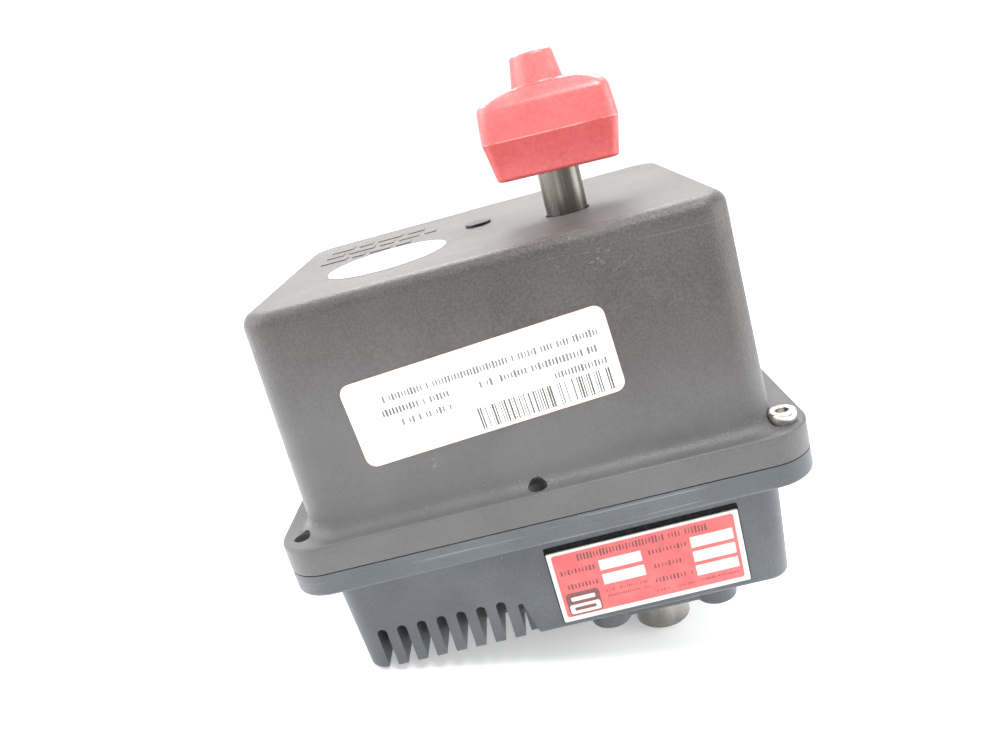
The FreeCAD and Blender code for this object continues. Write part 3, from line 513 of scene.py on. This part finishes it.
def screwMesh():
    size = screwSize
    r, h, deep = size["headRadius"], size["headHeight"], size["hexDepth"]
    shank, length = size["shankRadius"], size["shankLength"]
    count = size["sides"]
    hexRadius = size["hexAcross"] / math.sqrt(3)

    def circle(radius, z):
        angles = [2 * math.pi * i / count for i in range(count)]
        return [Vector((radius * math.cos(angle), radius * math.sin(angle), z)) for angle in angles]

    def hexagon(scale, z):
        points = []
        for i in range(count):
            side, part = divmod(i, count // 6)
            a, b = [Vector((math.cos(math.radians(turn)), math.sin(math.radians(turn)), 0))
                    for turn in (60 * side, 60 * side + 60)]
            spot = a.lerp(b, part / (count // 6)) * hexRadius * scale
            points.append(Vector((spot.x, spot.y, z)))
        return points

    rings = [circle(shank - 0.3, -length), circle(shank, 0.3 - length), circle(shank, -0.02),
             circle(r - 0.12, 0.0), circle(r, 0.12), circle(r, h - 0.4), circle(r - 0.06, h - 0.24),
             circle(r - 0.24, h - 0.06), circle(r - 0.45, h), circle(2.45, h), hexagon(1.12, h - 0.02),
             hexagon(1.0, h - 0.16), hexagon(1.0, h - deep), hexagon(0.15, h - deep - 0.35)]
    pattern = skin("screwPattern", rings, [screwSteel])
    inSocket = pattern.data.attributes.new("inSocket", "BOOLEAN", "FACE")
    for face in pattern.data.polygons:
        centre = face.center / mm
        within = math.hypot(centre.x, centre.y) < hexRadius * 1.02
        inSocket.data[face.index].value = within and 0 < centre.z < h - 0.1
    return pattern


def makeCoverScrews():
    pattern = screwMesh()
    tree = Tree("capScrewsOnPoints", [
        ("Points", "NodeSocketGeometry", None), ("Screw", "NodeSocketObject", None),
        ("Turn Seed", "NodeSocketInt", 3), ("Finish", "NodeSocketMaterial", None),
        ("Socket Shade Finish", "NodeSocketMaterial", None)])
    info = tree.add("GeometryNodeObjectInfo", None, {"Object": tree.take("Screw")}, 4)
    turn = tree.add("FunctionNodeRandomValue", {"data_type": "FLOAT"},
                    {2: 0.0, 3: math.pi / 3, "Seed": tree.take("Turn Seed")}, 1)
    spin = tree.add("ShaderNodeCombineXYZ", None, {"Z": turn})
    placed = tree.add("GeometryNodeInstanceOnPoints", None,
                      {"Points": tree.take("Points"), "Instance": info, "Rotation": spin})
    # the faces inside the hex socket get the darker steel, which is painted shade
    inSocket = tree.add("GeometryNodeInputNamedAttribute", {"data_type": "BOOLEAN"}, {"Name": "inSocket"})
    tree.close(placed, tree.take("Finish"), (inSocket, tree.take("Socket Shade Finish")))
    low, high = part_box("cover_screws")
    edge = screwSize["headRadius"] * mm
    seat = high.z - screwSize["headHeight"] * mm
    rear = high.y - edge
    ears = rear - screwSize["backInset"] * mm
    spots = [(high.x - edge, low.y + edge, seat), (low.x + edge, ears, seat), (high.x - edge, ears, seat),
             ((low.x + high.x) / 2, rear, seat)]
    points = bpy.data.meshes.new("screwSpots")
    points.from_pydata(spots, [], [])
    screws = tree.run("coverScrews", {"Screw": pattern, "Turn Seed": 3, "Finish": screwSteel,
                                      "Socket Shade Finish": socketPaintedShade}, points)
    bpy.data.objects.remove(pattern)
    return screws


screws = makeCoverScrews()
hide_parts("cover_screws")
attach(screws, "housing")
print("cover screws")


# coil spring under the override shaft, built as one fixed shape; in the real actuator it shortens when the
# handle is pushed
springSize = {"low": 3.7, "height": 17.6, "radius": 4.6, "wire": 0.65, "turns": 6.0, "seat": 3.0,
              "travel": 6.0}


def makeSpring():
    size = springSize
    tree = Tree("coilSpring", [
        ("Turns", "NodeSocketFloat", 6.0), ("Coil Radius", "NodeSocketFloat", 0.0046),
        ("Wire Radius", "NodeSocketFloat", 0.0006), ("Height", "NodeSocketFloat", 0.018),
        ("Finish", "NodeSocketMaterial", None)])
    path = tree.add("GeometryNodeCurveSpiral", None,
                    {"Resolution": 32, "Rotations": tree.take("Turns"),
                     "Start Radius": tree.take("Coil Radius"),
                     "End Radius": tree.take("Coil Radius"), "Height": tree.take("Height")})
    ring = tree.add("GeometryNodeCurvePrimitiveCircle", None,
                    {"Resolution": 12, "Radius": tree.take("Wire Radius")})
    coil = tree.add("GeometryNodeCurveToMesh", None,
                    {"Curve": path, "Profile Curve": ring, "Fill Caps": True})
    tree.close(coil, tree.take("Finish"))
    spring = tree.run("returnCoil", {
        "Turns": size["turns"], "Coil Radius": size["radius"] * mm, "Wire Radius": size["wire"] * mm,
        "Height": size["height"] * mm, "Finish": gearSteel})
    outward(spring)
    return place(spring, Matrix.Translation((0, 0, size["low"] * mm)))


spring = makeSpring()
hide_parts("return_spring")
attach(spring, "output")
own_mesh(spring)
print("return spring")


# printed pieces

class Printed:
    def __init__(self):
        self.points, self.faces, self.indices = [], [], []

    def flat(self, u0, u1, v0, v1, radius, lift, index, steps=5):
        radius = min(radius, (u1 - u0) / 2 - 1e-4, (v1 - v0) / 2 - 1e-4)
        start = len(self.points)
        cu, cv = (u0 + u1) / 2, (v0 + v1) / 2
        for p in roundedRing((u1 - u0) / 2, (v1 - v0) / 2, radius, 0, steps, 1):
            self.points.append(Vector((cu + p.x, -lift, cv + p.y)) * mm)
        self.faces.append(tuple(range(start, len(self.points))))
        self.indices.append(index)

    def slab(self, halfU, halfV, radius, low, high, index, soft):
        start, rings = len(self.points), []
        for inset, lift in ((0, low), (0, high - soft), (soft * 0.3, high - soft * 0.3), (soft, high)):
            ring = roundedRing(halfU - inset, halfV - inset, max(radius - inset, 0.05), 0, 6, 1)
            rings.append([Vector((p.x, -lift, p.y)) for p in ring])
        self.points.extend(p * mm for ring in rings for p in ring)
        made = ringFaces(len(rings[0]), len(rings), start)
        self.faces += made
        self.indices += [index] * len(made)

    def build(self, name, finishes):
        return meshObject(name, self.points, self.faces, finishes, self.indices, False)


def onWall(piece, size):                        # from flat in X and Z to the leaning wall
    spot = Matrix.Translation(Vector((size["centreX"], size["faceY"], size["centreZ"])) * mm)
    lean = Matrix.Rotation(math.radians(size["lean"]), 4, "X")
    return place(piece, spot @ (lean @ Matrix.Rotation(math.radians(size["turn"]), 4, "Y")))


def paperColour(p):
    fibre = p.noise(500, 4, 0.6).ramp(0.3, 0.7)
    return fibre.mix(rgb(0.80, 0.79, 0.77), rgb(0.88, 0.875, 0.86))


labelPaper = material("labelPaper", paperColour, metalRough(0.42, 0.12, 200, 200, 200),
                      bump=plainBump(700, 0.00002))
labelEdge = material("labelEdge", plainColour(rgb(0.82, 0.50, 0.40), rgb(0.86, 0.66, 0.58), 300),
                     metalRough(0.6, 0.1, 200, 200, 200), bump=plainBump(900, 0.00001))
printInk = material("printInk", plainColour(rgb(0.05, 0.05, 0.045), rgb(0.12, 0.115, 0.11), 1500),
                    metalRough(0.5, 0.15, 200, 200, 200), bump=plainBump(2000, 0.000005))
greyInk = material("greyInk", plainColour(rgb(0.10, 0.10, 0.10), rgb(0.20, 0.20, 0.19), 900),
                   metalRough(0.5, 0.15, 200, 200, 200), bump=plainBump(2000, 0.000005))
stickerPaper = material("stickerPaper", plainColour(rgb(0.52, 0.52, 0.515), rgb(0.60, 0.60, 0.595), 300),
                        metalRough(0.5, 0.12, 200, 200, 200), bump=plainBump(700, 0.00002))
faintInk = material("faintInk", plainColour(rgb(0.30, 0.30, 0.30), rgb(0.40, 0.40, 0.39), 900),
                    metalRough(0.5, 0.15, 200, 200, 200), bump=plainBump(2000, 0.000005))
plateRed = material("plateRed", plainColour(rgb(0.60, 0.085, 0.088), rgb(0.68, 0.115, 0.118), 160),
                    metalRough(0.34, 0.14, 120, 120, 120), bump=plainBump(600, 0.00001))
plateWhite = material("plateWhite", plainColour(rgb(0.56, 0.545, 0.52), rgb(0.63, 0.615, 0.59), 200),
                      metalRough(0.34, 0.14, 120, 120, 120), bump=plainBump(600, 0.00001))
plateInk = material("plateInk", plainColour(rgb(0.12, 0.035, 0.035), rgb(0.20, 0.06, 0.06), 1200),
                    metalRough(0.4, 0.1, 200, 200, 200), bump=plainBump(1500, 0.000005))


def inkRowTree():
    tree = Tree("inkRow", [
        ("Count", "NodeSocketInt", 10), ("Pitch", "NodeSocketFloat", 0.001),
        ("Thinnest", "NodeSocketFloat", 0.0003), ("Widest", "NodeSocketFloat", 0.0009),
        ("Height", "NodeSocketFloat", 0.002), ("Lowest", "NodeSocketFloat", 0.6),
        ("Gaps", "NodeSocketFloat", 0.15), ("Seed", "NodeSocketInt", 1),
        ("Finish", "NodeSocketMaterial", None)])
    step = tree.add("ShaderNodeCombineXYZ", None, {"X": tree.take("Pitch")})
    line = tree.add("GeometryNodeMeshLine", None, {"Count": tree.take("Count"), "Offset": step})
    chance = tree.add("FunctionNodeRandomValue", {"data_type": "FLOAT"},
                      {2: 0.0, 3: 1.0, "Seed": tree.take("Seed")}, 1)
    empty = tree.add("ShaderNodeMath", {"operation": "LESS_THAN"}, {0: chance, 1: tree.take("Gaps")})
    kept = tree.add("GeometryNodeDeleteGeometry", {"domain": "POINT"},
                    {"Geometry": line, "Selection": empty})
    wide = tree.add("FunctionNodeRandomValue", {"data_type": "FLOAT"},
                    {2: tree.take("Thinnest"), 3: tree.take("Widest"), "Seed": tree.take("Seed")}, 1)
    uneven = tree.add("FunctionNodeRandomValue", {"data_type": "FLOAT"},
                      {2: tree.take("Lowest"), 3: 1.0, "Seed": tree.take("Seed"),
                       "ID": tree.add("GeometryNodeInputIndex")}, 1)
    tall = tree.add("ShaderNodeMath", {"operation": "MULTIPLY"}, {0: uneven, 1: tree.take("Height")})
    size = tree.add("ShaderNodeCombineXYZ", None, {"X": wide, "Y": 1.0, "Z": tall})
    mark = tree.add("GeometryNodeMeshGrid", None,
                    {"Size X": 1.0, "Size Y": 1.0, "Vertices X": 2, "Vertices Y": 2})
    upright = tree.add("GeometryNodeTransform", None,
                       {"Geometry": mark, "Rotation": (math.pi / 2, 0.0, 0.0)})
    placed = tree.add("GeometryNodeInstanceOnPoints", None,
                      {"Points": kept, "Instance": upright, "Scale": size})
    tree.close(placed, tree.take("Finish"))
    return tree


inkTree = inkRowTree()


def inkRow(name, u, v, wide, tall, pitch, thin, thick, gaps, seed, finish, lift, lowest=0.62):
    row = inkTree.run(name, {
        "Count": max(int(wide / pitch), 1), "Pitch": pitch * mm, "Thinnest": thin * mm, "Widest": thick * mm,
        "Height": tall * mm, "Lowest": lowest, "Gaps": gaps, "Seed": seed, "Finish": finish})
    return place(row, Matrix.Translation(Vector((u + pitch / 2, -lift, v)) * mm))


def joined(first, others):
    work = bmesh.new()
    finishes = []
    for piece in [first] + others:
        offset = len(finishes)
        finishes += [slot.material for slot in piece.material_slots]
        before = len(work.faces)
        work.from_mesh(piece.data)
        work.faces.ensure_lookup_table()
        for face in work.faces[before:]:
            face.material_index += offset
    mesh = bpy.data.meshes.new(first.name)
    for finish in finishes:
        mesh.materials.append(finish)
    work.to_mesh(mesh)
    work.free()
    first.data = mesh
    for piece in others:
        bpy.data.objects.remove(piece)
    return first


# printed stock label on the cover, its printing reduced to plain bars
labelSize = {"width": 76.2, "height": 25.4, "corner": 3.0, "thick": 0.2, "margin": 0.35, "centreX": -36.1,
             "centreZ": 97.0, "faceY": -39.297, "lean": -1.2093, "turn": -3.5, "barPitch": 0.7}
# start across and up, width, height, pitch, share of gaps and seed
labelRows = [(-27.5, 5.6, 63.0, 2.3, 0.92, 0.14, 4), (-0.5, 1.2, 35.0, 2.3, 1.0, 0.10, 9),
             (20.0, -2.9, 15.6, 2.3, 0.95, 0.06, 2), (-29.0, 1.6, 20.0, 2.3, 1.0, 0.16, 5),
             (-24.5, -2.3, 16.0, 2.3, 1.0, 0.24, 12)]


def makeLabel():
    size = labelSize
    w, h, corner, margin = size["width"] / 2, size["height"] / 2, size["corner"], size["margin"]
    sheet = Printed()
    sheet.slab(w, h, corner, 0.02, size["thick"], 1, 0.05)
    sheet.flat(-w + margin, w - margin, -h + margin, h - margin, corner - margin, size["thick"] + 0.004, 0, 8)
    label = sheet.build("stockLabel", [labelPaper, labelEdge])
    lift = size["thick"] + 0.012
    rows = [inkRow("labelRow%d" % i, u, v, wide, tall, pitch, pitch * 0.42, pitch * 0.74, gaps, seed,
                   greyInk, lift)
            for i, (u, v, wide, tall, pitch, gaps, seed) in enumerate(labelRows)]
    rows.append(inkRow("labelBars", -3.4, -8.3, 38.6, 6.5, size["barPitch"], 0.12, 0.60, 0.06, 21,
                       printInk, lift, 1.0))
    return onWall(joined(label, rows), size)


label = makeLabel()
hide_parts("barcode_label")
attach(label, "housing")


# rating plate on the base, with blank fields and plain bars for words
plateSize = {"width": 58.5, "height": 25.3, "low": 0.3, "high": 0.8, "centreX": -2.85, "centreZ": 27.4,
             "faceY": -35.142, "lean": 2.2026, "turn": -0.4}
# left, right, bottom and top of each blank field
plateFields = [(-14.35, -1.35, 2.9, 6.6), (-14.3, -1.25, -2.3, 1.5), (13.75, 26.65, 3.1, 6.9),
               (13.75, 26.65, -2.0, 1.8), (13.75, 26.65, -7.0, -3.3)]
# the plain block at the left: left, right, bottom, top, corner, lift and finish
plateBlock = [(-26.9, -16.4, -10.8, -2.6, 1.1, 0.012, 2), (-26.4, -16.9, -10.3, -6.9, 0.7, 0.018, 0),
              (-25.4, -17.9, -5.7, -4.2, 0.4, 0.018, 0), (-25.0, -18.3, -9.2, -8.0, 0.3, 0.024, 2)]
# start across and up, width, height, pitch, share of gaps and seed
plateWords = [(-20.5, 9.3, 40.5, 2.5, 1.0, 0.07, 3), (-26.6, 4.9, 11.0, 1.9, 1.1, 0.05, 4),
              (-25.6, -0.4, 10.0, 1.9, 1.1, 0.05, 5), (0.6, 5.1, 12.4, 1.9, 1.1, 0.05, 6),
              (1.4, -0.1, 9.2, 1.9, 1.1, 0.05, 7), (0.8, -5.2, 12.2, 1.9, 1.1, 0.15, 8),
              (-14.4, -4.6, 13.8, 0.9, 0.7, 0.1, 9), (-14.4, -6.6, 13.8, 0.9, 0.7, 0.1, 10),
              (14.2, -8.7, 12.0, 0.9, 0.7, 0.1, 11), (0.6, -8.9, 12.0, 0.9, 0.7, 0.12, 13)]


def makePlate():
    size = plateSize
    w, h, top = size["width"] / 2, size["height"] / 2, size["high"]
    sheet = Printed()
    sheet.slab(w, h, 0.6, size["low"], top, 0, 0.1)
    sheet.flat(-w + 1.35, w - 1.6, -h + 1.6, h - 1.05, 0.9, top + 0.006, 1)
    for field in plateFields:
        sheet.flat(*field, 0.15, top + 0.012, 0)
    for *block, lift, index in plateBlock:
        sheet.flat(*block, top + lift, index)
    plate = sheet.build("ratingPlate", [plateWhite, plateRed, plateInk])
    rows = [inkRow("plateRow%d" % i, u, v, wide, tall, pitch, pitch * 0.34, pitch * 0.66, gaps, seed,
                   plateInk, top + 0.014)
            for i, (u, v, wide, tall, pitch, gaps, seed) in enumerate(plateWords)]
    return onWall(joined(plate, rows), size)


plate = makePlate()
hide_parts("nameplate")
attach(plate, "housing")


# round sticker on top
stickerSize = {"radius": 19.0, "x": -57.4, "y": 0.0, "low": 132.41, "high": 132.6, "sides": 96}
# start across, up, width and seed
stickerRows = [(-9, 9.5, 18, 3), (-13, 4.5, 26, 6), (-6, -1.0, 12, 9), (-12, -6.5, 24, 12)]


def makeSticker():
    size = stickerSize
    x, y, high = size["x"], size["y"], size["high"]
    angles = [i * math.pi / (size["sides"] // 2) for i in range(size["sides"])]
    rings = []
    for inset, z in ((0, size["low"]), (0, high - 0.05), (0.05, high), (6.0, high + 0.004),
                     (12.0, high + 0.004), (18.0, high)):
        r = size["radius"] - inset
        rings.append([Vector((x + r * math.cos(a), y + r * math.sin(a), z)) for a in angles])
    sticker = skin("roundSticker", rings, [stickerPaper])
    marks = []
    for i, (u, v, wide, seed) in enumerate(stickerRows):
        mark = inkRow("stickerRow%d" % i, u, 0, wide, 1.9, 1.3, 0.5, 1.0, 0.12, seed, faintInk, 0)
        place(mark, Matrix.Rotation(math.radians(-90), 4, "X"))
        marks.append(place(mark, Matrix.Translation(Vector((x, y + v, high + 0.02)) * mm)))
    return joined(sticker, marks)


sticker = makeSticker()
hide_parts("round_sticker")
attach(sticker, "housing")
print("printed pieces")


# stage, light and camera

stageSize = {"lean": 17.39, "offset": -0.01707, "half": 1.1}
lean = math.radians(stageSize["lean"])
normal = Vector((math.sin(lean), 0, math.cos(lean)))
along = Vector((math.cos(lean), 0, -math.sin(lean)))
middle = normal * stageSize["offset"]
half = stageSize["half"]
floorPoints = [middle + along * sx * half + Vector((0, sy * half, 0))
               for sx, sy in ((-1, -1), (1, -1), (1, 1), (-1, 1))]
whitePaper = material("whitePaper", plainColour(rgb(0.88, 0.88, 0.88), rgb(0.90, 0.90, 0.90), 3), 0.9,
                      emission_color=rgb(1.0, 1.0, 1.0), emission_strength=0.32)
floor = meshObject("whiteFloor", floorPoints, [(0, 1, 2, 3)], [whitePaper], None, False)

# the sweep behind is brighter than the room in front
skyLook = {"front": 0.84, "back": 1.16, "fade": (-0.55, 0.45)}
world = bpy.data.worlds.new("whiteSweep")
bpy.context.scene.world = world
world.use_nodes = True
heading = Shade(world.node_tree).node("ShaderNodeTexCoord", None, None, 0).axis("Y")
sky = world.node_tree.nodes["Background"]
strength = heading.ramp(*skyLook["fade"]) * (skyLook["back"] - skyLook["front"]) + skyLook["front"]
world.node_tree.links.new(strength.socket, sky.inputs["Strength"])
sky.inputs["Color"].default_value = rgb(1.0, 1.0, 1.0)


def onStage(side, depth, height):
    return middle + along * side + Vector((0, depth, 0)) + normal * height


softboxAim = (-0.04, 0, 0.09)
coolTint = (0.97, 0.985, 1.0)


def softbox(name, spot, width, height, power, tint=(1.0, 1.0, 1.0)):
    lamp = bpy.data.lights.new(name, "AREA")
    lamp.shape = "RECTANGLE"
    lamp.size = width
    lamp.size_y = height
    lamp.energy = power
    lamp.color = tint
    holder = bpy.data.objects.new(name, lamp)
    bpy.context.scene.collection.objects.link(holder)
    holder.location = onStage(*spot)
    holder.rotation_euler = (onStage(*softboxAim) - holder.location).to_track_quat("-Z", "Y").to_euler()


softbox("overheadBox", (0.06, -0.30, 0.90), 0.50, 0.26, 9)
softbox("leftBox", (-0.95, -0.05, 0.42), 0.8, 0.7, 8, coolTint)
softbox("rightBox", (0.95, -0.10, 0.40), 0.7, 0.7, 6, coolTint)
softbox("keyBox", (-0.20, 0.60, 0.78), 0.95, 0.45, 13)

cameraSet = {"spot": (-0.012634, -0.257449, 0.16992), "right": (0.96612, -0.00515, -0.25805),
             "up": (0.24642, 0.31582, 0.91626), "back": (0.07677, -0.94881, 0.30639), "lens": 30.0986}
cameraData = bpy.data.cameras.new("stillCamera")
cameraData.sensor_width = 36.0
cameraData.lens = cameraSet["lens"]
cameraData.clip_start = 0.01
camera = bpy.data.objects.new("stillCamera", cameraData)
bpy.context.scene.collection.objects.link(camera)
axes = Matrix((cameraSet["right"], cameraSet["up"], cameraSet["back"])).transposed().to_4x4()
camera.matrix_world = Matrix.Translation(cameraSet["spot"]) @ axes
bpy.context.scene.camera = camera
bpy.context.scene.view_settings.view_transform = "Standard"
print("stage, light and camera")
